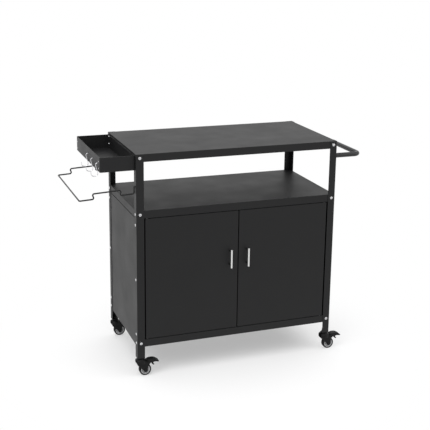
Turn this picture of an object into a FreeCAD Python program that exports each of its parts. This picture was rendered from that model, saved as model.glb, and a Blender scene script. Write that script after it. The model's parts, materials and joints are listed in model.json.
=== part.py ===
import FreeCAD, Part
import math
import os
import Sketcher

# Grill cart with storage: sheet metal frame, cabinet, tray, holders and braked casters.
# Millimetres, +Z up. The positions below are taken from the left front lower corner of the
# post frame (outer face of the left posts, front face of the front posts, floor), and every
# node is moved so that the middle of the whole cart's footprint is the origin.

os.makedirs("parts", exist_ok=True)
doc = FreeCAD.newDocument("GrillCart")
sheet = doc.addObject("Spreadsheet::Sheet", "Sizes")

SIZES = {
    # Whole cart
    "frame_width": 829,
    "frame_depth": 436,
    "frame_top": 896,
    "reach_left": 215,
    "reach_right": 119,
    "reach_front": 25,
    # Angle posts
    "angle_leg": 30,
    "angle_wall": 1.5,
    "angle_bend": 3,
    "bolt_inset": 15,
    # Folded shelves
    "shelf_wall": 1.2,
    "shelf_corner": 2.5,
    "shelf_bend": 1.5,
    "shelf_lip": 14,
    "shelf_rim": 30,
    "mid_shelf_top": 677,
    "bottom_shelf_top": 154,
    # Sheet panels
    "panel_wall": 1,
    "panel_fold": 12,
    "panel_bend": 0.8,
    "panel_top_gap": 3,
    "panel_high_bolt_drop": 24,
    "panel_middle_bolt_rise": 276,
    "panel_low_bolt_rise": 52,
    # Doors
    "door_thickness": 15,
    "door_wall": 1,
    "door_corner": 2,
    "door_edge": 0.8,
    "door_lip": 8,
    "door_setback": 1,
    "door_post_gap": 5,
    "door_split_gap": 3.5,
    "door_top_gap": 2.5,
    "door_bottom_gap": 2.5,
    # Door pivot pins
    "pivot_inset": 8,
    "pivot_radius": 2.5,
    "pivot_play": 0.05,
    "pivot_reach": 9,
    "pivot_collar": 4.5,
    "pivot_collar_gap": 0.3,
    "pivot_head": 1.2,
    # Magnetic catch
    "catch_width": 50,
    "catch_plate": 1.2,
    "catch_drop": 20,
    "catch_depth": 14,
    "catch_plate_front": 5,
    "catch_gap": 0.5,
    "catch_round": 1.5,
    # Handles
    "handle_offset": 36,
    "handle_middle": 455,
    "handle_length": 75,
    "handle_radius": 4,
    "handle_round": 1,
    "handle_post_spacing": 56,
    "handle_post_radius": 3,
    "handle_spigot_radius": 2,
    "handle_spigot_play": 0.1,
    "handle_screw_head": 3.5,
    "handle_screw_height": 1.6,
    # Spice tray
    "tray_width": 133,
    "tray_front": 16,
    "tray_below_top": 7,
    "tray_height": 56,
    "tray_wall": 1.2,
    "tray_outer_corner": 6,
    "tray_inner_corner": 1.5,
    "tray_hem": 2.4,
    "tray_hem_height": 2.8,
    "tray_bolt_y": 24,
    "tray_low_bolt_rise": 18,
    "tray_rivet_inset": 20,
    "tray_rivet_low": 12,
    "tray_rivet_high": 38.5,
    "rivet_radius": 2.6,
    "rivet_height": 1,
    # Utensil hooks
    "hook_first": 50,
    "hook_spacing": 82,
    "hook_hole_drop": 24,
    "hook_radius": 1.5,
    "hook_hole_radius": 3.2,
    "hook_play": 0.3,
    "hook_top_bend": 7.4,
    "hook_top_reach": 9.3,
    "hook_tip_drop": 11,
    "hook_bottom_bend": 11,
    "hook_throat": 27,
    "hook_drop": 51,
    "hook_flare": 2,
    "hook_tip_rise": 17,
    # Bag holder
    "holder_radius": 2.8,
    "holder_hole_radius": 3.4,
    "holder_below_top": 125,
    "holder_drop": 27.5,
    "holder_bend": 6,
    "holder_end_bend": 4,
    "holder_near": 58,
    "holder_far": 160,
    "holder_lean": 4,
    "holder_step": 20.5,
    "holder_slope": 0.055,
    "holder_tip": 10,
    # Towel bar
    "towel_radius": 9.5,
    "towel_wall": 1.2,
    "towel_below_top": 62,
    "towel_bend": 24,
    "towel_plug": 10,
    "towel_screw_radius": 2.5,
    "towel_screw_head": 4.75,
    "towel_screw_height": 2.6,
    # Frame fasteners
    "bolt_radius": 3,
    "bolt_play": 0.2,
    "bolt_head_radius": 5,
    "bolt_head_height": 2.4,
    "bolt_tail": 1,
    "nut_flats": 10,
    "nut_height": 5,
    # Casters
    "caster_trail": 18,
    "wheel_radius": 24,
    "wheel_top_gap": 4,
    "dome_height": 19,
    "swivel_gap": 0.3,
    "swivel_play": 0.05,
    "stem_cover_thickness": 1.4,
    "stem_cone_height": 1.6,
    "stem_neck": 1.7,
    "stem_radius": 5,
    "stem_tail": 4,
    "stem_chamfer": 1,
    "stem_cone_radius": 9,
    "stem_cover_radius": 15,
    "stem_foot_radius": 8,
    "stem_foot_height": 2.4,
    "caster_nut_flats": 17,
    "caster_nut_height": 8,
    "dome_radius": 21.5,
    "dome_wall": 2.2,
    "dome_plate": 5.4,
    "dome_shoulder": 14,
    "dome_shoulder_drop": 6,
    "fork_inside": 12,
    "fork_leg_wall": 2.5,
    "fork_back": 15,
    "fork_back_low": 4,
    "fork_front": 14,
    "fork_shoulder": 8.5,
    "axle_boss_radius": 8.5,
    "pedal_boss_radius": 5.5,
    "tyre_thickness": 5.5,
    "tyre_side_gap": 2,
    "tyre_round": 3.2,
    "rim_thickness": 3.5,
    "rim_recess": 1,
    "web_half_width": 4,
    "hub_radius": 7,
    "hub_side_gap": 0.5,
    "axle_radius": 3,
    "axle_play": 0.05,
    "axle_head_radius": 5.2,
    "axle_head_height": 2,
    "pedal_pin_ahead": 9,
    "pedal_pin_rise": 2,
    "pedal_pin_radius": 2,
    "pedal_pin_play": 0.05,
    "pedal_pin_head_radius": 3.2,
    "pedal_pin_head_height": 1,
    "pedal_reach": 46,
    "pedal_rise": 13.5,
    "pedal_side_gap": 1,
    "pedal_round": 1.6,
}

for row, (name, value) in enumerate(SIZES.items(), start=1):
    sheet.set(f"A{row}", name)
    sheet.set(f"B{row}", str(value))
    sheet.setAlias(f"B{row}", name)
doc.recompute()

FRAME_X = "((Sizes.reach_left - Sizes.reach_right) / 2 - Sizes.frame_width / 2)"
FRAME_Y = (
    "((Sizes.reach_front - (Sizes.dome_radius - Sizes.bolt_inset)) / 2 - Sizes.frame_depth / 2)"
)
DOOR_WIDTH = (
    "((Sizes.frame_width - Sizes.door_split_gap) / 2 - Sizes.angle_leg - Sizes.door_post_gap)"
)
MID_RIM_BOTTOM = "(Sizes.mid_shelf_top - Sizes.shelf_rim)"
BOTTOM_RIM_BOTTOM = "(Sizes.bottom_shelf_top - Sizes.shelf_rim)"
DOOR_BOTTOM = "(Sizes.bottom_shelf_top + Sizes.door_bottom_gap)"
DOOR_HEIGHT = (
    "(Sizes.mid_shelf_top - Sizes.shelf_rim - Sizes.door_top_gap"
    " - Sizes.bottom_shelf_top - Sizes.door_bottom_gap)"
)
TOP_BOLT = "(Sizes.frame_top - Sizes.shelf_rim / 2)"
MID_BOLT = "(Sizes.mid_shelf_top - Sizes.shelf_rim / 2)"
BOTTOM_BOLT = "(Sizes.bottom_shelf_top - Sizes.shelf_rim / 2)"
PANEL_TOP = f"({MID_RIM_BOTTOM} - Sizes.panel_top_gap)"
PANEL_BOLTS = [
    f"({PANEL_TOP} - Sizes.panel_high_bolt_drop)",
    f"({BOTTOM_RIM_BOTTOM} + Sizes.panel_middle_bolt_rise)",
    f"({BOTTOM_RIM_BOTTOM} + Sizes.panel_low_bolt_rise)",
]
TRAY_BOTTOM = "(Sizes.frame_top - Sizes.tray_below_top - Sizes.tray_height)"
TRAY_LOW_BOLT = f"({TRAY_BOTTOM} + Sizes.tray_low_bolt_rise)"
HOLDER_HEIGHT = "(Sizes.frame_top - Sizes.holder_below_top)"
TOWEL_HEIGHT = "(Sizes.frame_top - Sizes.towel_below_top)"
DOME_BOTTOM = "(2 * Sizes.wheel_radius + Sizes.wheel_top_gap)"
DOME_TOP = f"({DOME_BOTTOM} + Sizes.dome_height)"
COVER_BOTTOM = f"({DOME_TOP} + Sizes.swivel_gap)"
COVER_EDGE = f"({COVER_BOTTOM} + Sizes.stem_cover_thickness)"
CONE_TOP = f"({COVER_EDGE} + Sizes.stem_cone_height)"
POST_BOTTOM = f"({CONE_TOP} + Sizes.stem_neck)"
STEM_TOP = (
    f"({POST_BOTTOM} + Sizes.angle_wall + Sizes.caster_nut_height + Sizes.stem_tail)"
)
PIN_X = "(Sizes.caster_trail + Sizes.pedal_pin_ahead)"
PIN_Z = f"({DOME_BOTTOM} + Sizes.pedal_pin_rise)"
TYRE_HALF = "(Sizes.fork_inside - Sizes.tyre_side_gap)"
RIM_HALF = "(Sizes.fork_inside - Sizes.tyre_side_gap - Sizes.rim_recess)"
HUB_HALF = "(Sizes.fork_inside - Sizes.hub_side_gap)"
TYRE_SEAT = "(Sizes.wheel_radius - Sizes.tyre_thickness)"
RIM_INSIDE = "(Sizes.wheel_radius - Sizes.tyre_thickness - Sizes.rim_thickness)"
BOLT_HOLE = "Sizes.bolt_radius + Sizes.bolt_play"

nodes = []


def size(name):
    return float(sheet.get(name))


# Helpers for sketched bodies


def new_body(label, x="0", y="0", z="0"):
    body = doc.addObject("PartDesign::Body", label)
    body.Label = label
    body.setExpression("Placement.Base.x", f"{FRAME_X} + ({x})")
    body.setExpression("Placement.Base.y", f"{FRAME_Y} + ({y})")
    body.setExpression("Placement.Base.z", z)
    nodes.append(body)
    return body


def new_sketch(body, role, offset=None):
    found = body.newObject("Sketcher::SketchObject", body.Label + "_sketch")
    plane = next(o for o in body.Origin.OriginFeatures if o.Role == role)
    found.AttachmentSupport = (plane, "")
    found.MapMode = "FlatFace"
    if offset is not None:
        found.setExpression("AttachmentOffset.Base.z", offset)
    return found


def bind(drawing, constraint, expression):
    number = drawing.addConstraint(constraint)
    drawing.setExpression(f"Constraints[{number}]", expression)


def outline(drawing, corners):
    first = drawing.GeometryCount
    count = len(corners)
    spots = []
    for index in range(count):
        turn = 2 * math.pi * index / count
        spots.append(FreeCAD.Vector(10 * math.cos(turn), 10 * math.sin(turn), 0))
    for index in range(count):
        drawing.addGeometry(Part.LineSegment(spots[index], spots[(index + 1) % count]), False)
    for index in range(count):
        following = first + (index + 1) % count
        drawing.addConstraint(Sketcher.Constraint("Coincident", first + index, 2, following, 1))
    for index, (x, y) in enumerate(corners):
        spot = spots[index]
        bind(drawing, Sketcher.Constraint("DistanceX", -1, 1, first + index, 1, spot.x), x)
        bind(drawing, Sketcher.Constraint("DistanceY", -1, 1, first + index, 1, spot.y), y)


def rectangle(drawing, x_low, y_low, x_high, y_high):
    outline(drawing, [(x_low, y_low), (x_high, y_low), (x_high, y_high), (x_low, y_high)])


def circle(drawing, x, y, radius):
    number = drawing.addGeometry(
        Part.Circle(FreeCAD.Vector(1, 1, 0), FreeCAD.Vector(0, 0, 1), 1), False
    )
    bind(drawing, Sketcher.Constraint("Radius", number, 1), radius)
    bind(drawing, Sketcher.Constraint("DistanceX", -1, 1, number, 3, 1), x)
    bind(drawing, Sketcher.Constraint("DistanceY", -1, 1, number, 3, 1), y)


def pad(body, drawing, length, reverse=False, middle=False):
    made = body.newObject("PartDesign::Pad", body.Label + "_pad")
    made.Profile = drawing
    made.Reversed = reverse
    made.Midplane = middle
    made.setExpression("Length", length)
    drawing.Visibility = False
    return made


def cut_down(body, drawing, length, reverse=False, middle=False):
    made = body.newObject("PartDesign::Pocket", body.Label + "_pocket")
    made.Profile = drawing
    made.Reversed = reverse
    made.Midplane = middle
    made.setExpression("Length", length)
    return made


def cut_through(body, drawing):
    made = body.newObject("PartDesign::Pocket", body.Label + "_through")
    made.Profile = drawing
    made.Type = "ThroughAll"
    made.Midplane = True
    return made


def turn(body, drawing, axis):
    made = body.newObject("PartDesign::Revolution", body.Label + "_turned")
    made.Profile = drawing
    line = next(o for o in body.Origin.OriginFeatures if o.Role == axis)
    made.ReferenceAxis = (line, [""])
    made.Angle = 360
    return made


def round_edges(body, radius, wanted):
    doc.recompute()
    base = body.Tip
    names = []
    for number, edge in enumerate(base.Shape.Edges, start=1):
        if edge.Length > 1e-6 and wanted(edge):
            names.append(f"Edge{number}")
    made = body.newObject("PartDesign::Fillet", body.Label + "_round")
    made.Base = (base, names)
    made.setExpression("Radius", radius)
    return made


def is_line(edge, along):
    if edge.Curve.TypeId != "Part::GeomLine":
        return False
    direction = edge.Vertexes[-1].Point - edge.Vertexes[0].Point
    return abs(direction.normalize().dot(along)) > 0.999


def near(value, target):
    return abs(value - target) < 1e-3


ALONG_X = FreeCAD.Vector(1, 0, 0)
ALONG_Y = FreeCAD.Vector(0, 1, 0)
ALONG_Z = FreeCAD.Vector(0, 0, 1)


# Corner posts: rounded angle with a welded foot plate for the caster stem


def corner_post(label, x, y, side_x, side_y, front_bolts, side_bolts, side_holes):
    body = new_body(label, x, y)

    def across(text):
        return f"{side_x} * ({text})"

    def deep(text):
        return f"{side_y} * ({text})"

    leg = "Sizes.angle_leg"
    wall = "Sizes.angle_wall"
    profile = new_sketch(body, "XY_Plane", POST_BOTTOM)
    outline(profile, [
        ("0", "0"),
        (across(leg), "0"),
        (across(leg), deep(wall)),
        (across(wall), deep(wall)),
        (across(wall), deep(leg)),
        ("0", deep(leg)),
    ])
    pad(body, profile, f"Sizes.frame_top - {POST_BOTTOM}")

    def outer_corner(edge):
        middle = edge.CenterOfMass
        return is_line(edge, ALONG_Z) and near(middle.x, 0) and near(middle.y, 0)

    def inner_corner(edge):
        middle = edge.CenterOfMass
        inside = near(abs(middle.x), size("angle_wall")) and near(abs(middle.y), size("angle_wall"))
        return is_line(edge, ALONG_Z) and inside

    round_edges(body, "Sizes.angle_bend", outer_corner)
    round_edges(body, "Sizes.angle_bend - Sizes.angle_wall", inner_corner)

    foot = new_sketch(body, "XY_Plane", POST_BOTTOM)
    outline(foot, [
        (across(wall), deep(wall)),
        (across(leg), deep(wall)),
        (across(leg), deep(f"{leg} / 2")),
        (across(f"{leg} / 2"), deep(leg)),
        (across(wall), deep(leg)),
    ])
    pad(body, foot, "Sizes.angle_wall")

    stem_hole = new_sketch(body, "XY_Plane")
    circle(stem_hole, across("Sizes.bolt_inset"), deep("Sizes.bolt_inset"), "Sizes.stem_radius")
    cut_through(body, stem_hole)

    front_holes = new_sketch(body, "XZ_Plane")
    for height in front_bolts:
        circle(front_holes, across("Sizes.bolt_inset"), height, BOLT_HOLE)
    cut_through(body, front_holes)

    flange_holes = new_sketch(body, "YZ_Plane")
    for height in side_bolts:
        circle(flange_holes, deep("Sizes.bolt_inset"), height, BOLT_HOLE)
    for inset, height, radius in side_holes:
        circle(flange_holes, deep(inset), height, radius)
    cut_through(body, flange_holes)


RIM_BOLTS = [TOP_BOLT, MID_BOLT, BOTTOM_BOLT]
LEFT_SIDE_BOLTS = [MID_BOLT, BOTTOM_BOLT] + PANEL_BOLTS
RIGHT_SIDE_BOLTS = RIM_BOLTS + PANEL_BOLTS
BACK_BOLTS = RIM_BOLTS + PANEL_BOLTS
LEFT_SIDE_HOLES = [
    ("Sizes.tray_bolt_y", TOP_BOLT, BOLT_HOLE),
    ("Sizes.tray_bolt_y", TRAY_LOW_BOLT, BOLT_HOLE),
    ("Sizes.bolt_inset", HOLDER_HEIGHT, "Sizes.holder_hole_radius"),
]
RIGHT_SIDE_HOLES = [
    ("Sizes.bolt_inset", TOWEL_HEIGHT, "Sizes.towel_screw_radius + Sizes.bolt_play"),
]
RIGHT = "Sizes.frame_width"
BACK = "Sizes.frame_depth"

corner_post("post_front_left", "0", "0", 1, 1, RIM_BOLTS, LEFT_SIDE_BOLTS, LEFT_SIDE_HOLES)
corner_post("post_front_right", RIGHT, "0", -1, 1, RIM_BOLTS, RIGHT_SIDE_BOLTS, RIGHT_SIDE_HOLES)
corner_post("post_back_left", "0", BACK, 1, -1, BACK_BOLTS, LEFT_SIDE_BOLTS, LEFT_SIDE_HOLES)
corner_post("post_back_right", RIGHT, BACK, -1, -1, BACK_BOLTS, RIGHT_SIDE_BOLTS, RIGHT_SIDE_HOLES)


# Folded pans: a sheet, a rim all round and a lip turned inward


def ring(drawing, width, depth, inset):
    rectangle(drawing, "0", "0", width, depth)
    rectangle(drawing, inset, inset, f"{width} - ({inset})", f"{depth} - ({inset})")


def shelf(label, top, side_inset, back_inset):
    front_inset = "Sizes.angle_wall"
    body = new_body(label, side_inset, front_inset, f"{top} - Sizes.shelf_rim")
    width = f"(Sizes.frame_width - 2 * ({side_inset}))"
    depth = f"(Sizes.frame_depth - ({front_inset}) - ({back_inset}))"
    rim = new_sketch(body, "XY_Plane")
    ring(rim, width, depth, "Sizes.shelf_wall")
    pad(body, rim, "Sizes.shelf_rim")
    top_sheet = new_sketch(body, "XY_Plane", "Sizes.shelf_rim - Sizes.shelf_wall")
    rectangle(top_sheet, "0", "0", width, depth)
    pad(body, top_sheet, "Sizes.shelf_wall")
    lip = new_sketch(body, "XY_Plane")
    ring(lip, width, depth, "Sizes.shelf_wall + Sizes.shelf_lip")
    pad(body, lip, "Sizes.shelf_wall")
    doc.recompute()
    box = body.Tip.Shape.BoundBox

    def outer_upright(edge):
        middle = edge.CenterOfMass
        at_side = near(middle.x, box.XMin) or near(middle.x, box.XMax)
        at_end = near(middle.y, box.YMin) or near(middle.y, box.YMax)
        return is_line(edge, ALONG_Z) and at_side and at_end

    def top_edge(edge):
        return near(edge.BoundBox.ZMin, box.ZMax)

    round_edges(body, "Sizes.shelf_corner", outer_upright)
    round_edges(body, "Sizes.shelf_bend", top_edge)

    left = f"(Sizes.bolt_inset - ({side_inset}))"
    near_y = f"(Sizes.bolt_inset - ({front_inset}))"
    far_y = f"(Sizes.frame_depth - Sizes.bolt_inset - ({front_inset}))"
    front_holes = new_sketch(body, "XZ_Plane")
    for x in (left, f"{width} - {left}"):
        circle(front_holes, x, "Sizes.shelf_rim / 2", BOLT_HOLE)
    cut_through(body, front_holes)
    side_holes = new_sketch(body, "YZ_Plane")
    for y in (near_y, far_y):
        circle(side_holes, y, "Sizes.shelf_rim / 2", BOLT_HOLE)
    cut_through(body, side_holes)
    return body


def pivot_holes(body, side_inset, offset):
    drawing = new_sketch(body, "XY_Plane", offset)
    first = (
        f"(Sizes.angle_leg + Sizes.door_post_gap + Sizes.pivot_inset - ({side_inset}))"
    )
    width = f"(Sizes.frame_width - 2 * ({side_inset}))"
    y = "Sizes.door_setback + Sizes.door_thickness / 2 - Sizes.angle_wall"
    circle(drawing, first, y, "Sizes.pivot_radius")
    circle(drawing, f"{width} - {first}", y, "Sizes.pivot_radius")
    cut_down(body, drawing, "3 * Sizes.shelf_wall")


tabletop = shelf("tabletop", "Sizes.frame_top", "Sizes.angle_wall", "Sizes.angle_wall")
tray_row = new_sketch(tabletop, "YZ_Plane", "3 * Sizes.shelf_wall")
circle(tray_row, "Sizes.tray_bolt_y - Sizes.angle_wall", "Sizes.shelf_rim / 2", BOLT_HOLE)
circle(
    tray_row,
    "Sizes.frame_depth - Sizes.tray_bolt_y - Sizes.angle_wall",
    "Sizes.shelf_rim / 2",
    BOLT_HOLE,
)
cut_down(tabletop, tray_row, "6 * Sizes.shelf_wall")

mid_shelf = shelf("mid_shelf", "Sizes.mid_shelf_top", "Sizes.angle_wall", "Sizes.angle_wall")
pivot_holes(mid_shelf, "Sizes.angle_wall", "2 * Sizes.shelf_wall")

PANEL_INSET = "(Sizes.angle_wall + Sizes.panel_wall)"
bottom_shelf = shelf("bottom_shelf", "Sizes.bottom_shelf_top", PANEL_INSET, PANEL_INSET)
pivot_holes(bottom_shelf, PANEL_INSET, "Sizes.shelf_rim + Sizes.shelf_wall")


# Side and back panels: flat sheets between the posts' bends, the top edge folded inward


def side_panel(label, x, side):
    body = new_body(label, x, "Sizes.angle_bend")
    wall = f"{side} * Sizes.panel_wall"
    fold = f"{side} * Sizes.panel_fold"
    profile = new_sketch(body, "XZ_Plane")
    outline(profile, [
        ("0", BOTTOM_RIM_BOTTOM),
        (wall, BOTTOM_RIM_BOTTOM),
        (wall, f"{PANEL_TOP} - Sizes.panel_wall"),
        (fold, f"{PANEL_TOP} - Sizes.panel_wall"),
        (fold, PANEL_TOP),
        ("0", PANEL_TOP),
    ])
    pad(body, profile, "Sizes.frame_depth - 2 * Sizes.angle_bend", reverse=True)
    doc.recompute()
    top = body.Tip.Shape.BoundBox.ZMax

    def bend(edge):
        middle = edge.CenterOfMass
        return is_line(edge, ALONG_Y) and near(middle.z, top) and near(middle.x, 0)

    round_edges(body, "Sizes.panel_bend", bend)
    holes = new_sketch(body, "YZ_Plane")
    for y in ("Sizes.bolt_inset", "(Sizes.frame_depth - Sizes.bolt_inset)"):
        for height in PANEL_BOLTS + [BOTTOM_BOLT]:
            circle(holes, f"{y} - Sizes.angle_bend", height, BOLT_HOLE)
    cut_through(body, holes)


side_panel("side_panel_left", "Sizes.angle_wall", 1)
side_panel("side_panel_right", "Sizes.frame_width - Sizes.angle_wall", -1)

back_panel = new_body("back_panel", "Sizes.angle_bend", "Sizes.frame_depth - Sizes.angle_wall")
back_width = "(Sizes.frame_width - 2 * Sizes.angle_bend)"
back_sheet = new_sketch(back_panel, "XZ_Plane")
rectangle(back_sheet, "0", BOTTOM_RIM_BOTTOM, back_width, PANEL_TOP)
pad(back_panel, back_sheet, "Sizes.panel_wall")
fold_sheet = new_sketch(back_panel, "XZ_Plane")
fold_start = "(2 * Sizes.panel_fold)"
rectangle(
    fold_sheet,
    fold_start,
    f"{PANEL_TOP} - Sizes.panel_wall",
    f"{back_width} - {fold_start}",
    PANEL_TOP,
)
pad(back_panel, fold_sheet, "Sizes.panel_fold")
back_holes = new_sketch(back_panel, "XZ_Plane")
for x in ("Sizes.bolt_inset", "(Sizes.frame_width - Sizes.bolt_inset)"):
    for height in PANEL_BOLTS + [BOTTOM_BOLT]:
        circle(back_holes, f"{x} - Sizes.angle_bend", height, BOLT_HOLE)
cut_through(back_panel, back_holes)


# Doors: folded pans open to the back, turning on pins near the outer edges


def door(label, x, pivot_x, handle_x):
    body = new_body(label, x, "Sizes.door_setback", DOOR_BOTTOM)
    rim = new_sketch(body, "XZ_Plane")
    ring(rim, DOOR_WIDTH, DOOR_HEIGHT, "Sizes.door_wall")
    pad(body, rim, "Sizes.door_thickness", reverse=True)
    front = new_sketch(body, "XZ_Plane")
    rectangle(front, "0", "0", DOOR_WIDTH, DOOR_HEIGHT)
    pad(body, front, "Sizes.door_wall", reverse=True)
    lip = new_sketch(body, "XZ_Plane", "Sizes.door_wall - Sizes.door_thickness")
    ring(lip, DOOR_WIDTH, DOOR_HEIGHT, "Sizes.door_wall + Sizes.door_lip")
    pad(body, lip, "Sizes.door_wall", reverse=True)
    doc.recompute()
    box = body.Tip.Shape.BoundBox

    def outer_corner(edge):
        middle = edge.CenterOfMass
        at_side = near(middle.x, box.XMin) or near(middle.x, box.XMax)
        at_end = near(middle.z, box.ZMin) or near(middle.z, box.ZMax)
        return is_line(edge, ALONG_Y) and at_side and at_end

    def front_edge(edge):
        return near(edge.BoundBox.YMax, box.YMin)

    round_edges(body, "Sizes.door_corner", outer_corner)
    round_edges(body, "Sizes.door_edge", front_edge)
    pivots = new_sketch(body, "XY_Plane")
    circle(pivots, pivot_x, "Sizes.door_thickness / 2", "Sizes.pivot_radius + Sizes.pivot_play")
    cut_through(body, pivots)
    spigots = new_sketch(body, "XZ_Plane")
    for way in ("-", "+"):
        height = (
            f"Sizes.handle_middle {way} Sizes.handle_post_spacing / 2 - {DOOR_BOTTOM}"
        )
        radius = "Sizes.handle_spigot_radius + Sizes.handle_spigot_play"
        circle(spigots, handle_x, height, radius)
    cut_through(body, spigots)


LEFT_DOOR_X = "(Sizes.angle_leg + Sizes.door_post_gap)"
RIGHT_DOOR_X = "((Sizes.frame_width + Sizes.door_split_gap) / 2)"
HANDLE_FROM_EDGE = "(Sizes.handle_offset - Sizes.door_split_gap / 2)"
door("door_left", LEFT_DOOR_X, "Sizes.pivot_inset", f"{DOOR_WIDTH} - {HANDLE_FROM_EDGE}")
door("door_right", RIGHT_DOOR_X, f"{DOOR_WIDTH} - Sizes.pivot_inset", HANDLE_FROM_EDGE)


# Handles: a round bar in front of each door


def handle_bar(label, side):
    body = new_body(
        label,
        f"Sizes.frame_width / 2 + {side} * Sizes.handle_offset",
        "Sizes.handle_radius - Sizes.reach_front",
        "Sizes.handle_middle - Sizes.handle_length / 2",
    )
    profile = new_sketch(body, "XY_Plane")
    circle(profile, "0", "0", "Sizes.handle_radius")
    pad(body, profile, "Sizes.handle_length")

    def end_edge(edge):
        return edge.Curve.TypeId == "Part::GeomCircle"

    round_edges(body, "Sizes.handle_round", end_edge)


handle_bar("door_handle_left", -1)
handle_bar("door_handle_right", 1)


# Spice tray: open box with rounded outer corners and a hemmed edge


def tray_outline(drawing, inset, outer_corner, inner_corner):
    x_low = inset
    y_low = inset
    x_high = f"Sizes.tray_width - ({inset})"
    y_high = f"(Sizes.frame_depth - 2 * Sizes.tray_front) - ({inset})"
    first = drawing.GeometryCount
    starts = [(20, 0), (100, 20), (80, 100), (0, 80)]
    ends = [(80, 0), (100, 80), (20, 100), (0, 20)]
    centres = [(80, 20), (80, 80), (20, 80), (20, 20)]
    for index in range(4):
        drawing.addGeometry(
            Part.LineSegment(
                FreeCAD.Vector(*starts[index], 0), FreeCAD.Vector(*ends[index], 0)
            ),
            False,
        )
        centre = Part.Circle(FreeCAD.Vector(*centres[index], 0), ALONG_Z, 20)
        begin = math.radians(90 * index - 90)
        drawing.addGeometry(Part.ArcOfCircle(centre, begin, begin + math.pi / 2), False)
    for index in range(4):
        line = first + 2 * index
        following = first + (2 * index + 2) % 8
        drawing.addConstraint(Sketcher.Constraint("Tangent", line, 2, line + 1, 1))
        drawing.addConstraint(Sketcher.Constraint("Tangent", line + 1, 2, following, 1))
    for line in (first, first + 4):
        drawing.addConstraint(Sketcher.Constraint("Horizontal", line))
    for line in (first + 2, first + 6):
        drawing.addConstraint(Sketcher.Constraint("Vertical", line))
    corners = [inner_corner, inner_corner, outer_corner, outer_corner]
    for index, radius in enumerate(corners):
        bind(drawing, Sketcher.Constraint("Radius", first + 2 * index + 1, 20), radius)
    bind(drawing, Sketcher.Constraint("DistanceY", -1, 1, first, 1, 0.5), y_low)
    bind(drawing, Sketcher.Constraint("DistanceX", -1, 1, first + 2, 1, 100), x_high)
    bind(drawing, Sketcher.Constraint("DistanceY", -1, 1, first + 4, 1, 100), y_high)
    bind(drawing, Sketcher.Constraint("DistanceX", -1, 1, first + 6, 1, 0.5), x_low)


tray = new_body(
    "spice_tray",
    "-Sizes.tray_width",
    "Sizes.tray_front",
    TRAY_BOTTOM,
)
tray_block = new_sketch(tray, "XY_Plane")
tray_outline(tray_block, "0", "Sizes.tray_outer_corner", "Sizes.tray_inner_corner")
pad(tray, tray_block, "Sizes.tray_height")
tray_room = new_sketch(tray, "XY_Plane", "Sizes.tray_height")
tray_outline(
    tray_room,
    "Sizes.tray_hem",
    "Sizes.tray_outer_corner - Sizes.tray_hem",
    "Sizes.tray_inner_corner",
)
cut_down(tray, tray_room, "Sizes.tray_height - Sizes.tray_wall")
tray_sides = new_sketch(tray, "XY_Plane", "Sizes.tray_height - Sizes.tray_hem_height")
tray_outline(
    tray_sides,
    "Sizes.tray_wall",
    "Sizes.tray_outer_corner - Sizes.tray_wall",
    "Sizes.tray_inner_corner",
)
cut_down(tray, tray_sides, "Sizes.tray_height - Sizes.tray_hem_height - Sizes.tray_wall")
hook_holes = new_sketch(tray, "YZ_Plane", "2 * Sizes.tray_hem")
for number in range(3):
    circle(
        hook_holes,
        f"Sizes.hook_first + {number} * Sizes.hook_spacing - Sizes.tray_front",
        "Sizes.tray_height - Sizes.hook_hole_drop",
        "Sizes.hook_hole_radius",
    )
cut_down(tray, hook_holes, "4 * Sizes.tray_hem")
tray_bolt_holes = new_sketch(tray, "YZ_Plane", "Sizes.tray_width + Sizes.tray_hem")
for y in ("Sizes.tray_bolt_y", "(Sizes.frame_depth - Sizes.tray_bolt_y)"):
    for height in (TOP_BOLT, TRAY_LOW_BOLT):
        circle(
            tray_bolt_holes,
            f"{y} - Sizes.tray_front",
            f"{height} - {TRAY_BOTTOM}",
            BOLT_HOLE,
        )
cut_down(tray, tray_bolt_holes, "4 * Sizes.tray_hem")


# Rods and fasteners whose shapes are worked out in code from the sheet


def add_solids(label, solids):
    shape = Part.makeCompound(solids) if len(solids) > 1 else solids[0]
    made = doc.addObject("Part::Feature", label)
    made.Label = label
    made.Shape = shape
    made.setExpression("Placement.Base.x", FRAME_X)
    made.setExpression("Placement.Base.y", FRAME_Y)
    nodes.append(made)
    return made


def unit(vector):
    copy = FreeCAD.Vector(vector)
    return copy.normalize()


def rod(points, bends, radius):
    edges = []
    start = points[0]
    for index, bend in enumerate(bends):
        corner = points[index + 1]
        backward = unit(points[index] - corner)
        forward = unit(points[index + 2] - corner)
        half = backward.getAngle(forward) / 2
        inward = unit(backward + forward)
        first = corner + backward * (bend / math.tan(half))
        last = corner + forward * (bend / math.tan(half))
        middle = corner + inward * (bend / math.sin(half) - bend)
        edges.append(Part.LineSegment(start, first).toShape())
        edges.append(Part.Arc(first, middle, last).toShape())
        start = last
    edges.append(Part.LineSegment(start, points[-1]).toShape())
    section = Part.Wire(Part.makeCircle(radius, points[0], points[1] - points[0]))
    return Part.Wire(edges).makePipe(Part.Face(section))


def turned(points, base, axis):
    """Solid turned about an axis, from (radius, distance along the axis) pairs."""
    corners = [FreeCAD.Vector(radius, 0, along) for radius, along in points]
    face = Part.Face(Part.makePolygon(corners + corners[:1]))
    solid = face.revolve(FreeCAD.Vector(0, 0, 0), ALONG_Z, 360)
    solid.Placement = FreeCAD.Placement(base, FreeCAD.Rotation(ALONG_Z, axis))
    return solid


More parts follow.
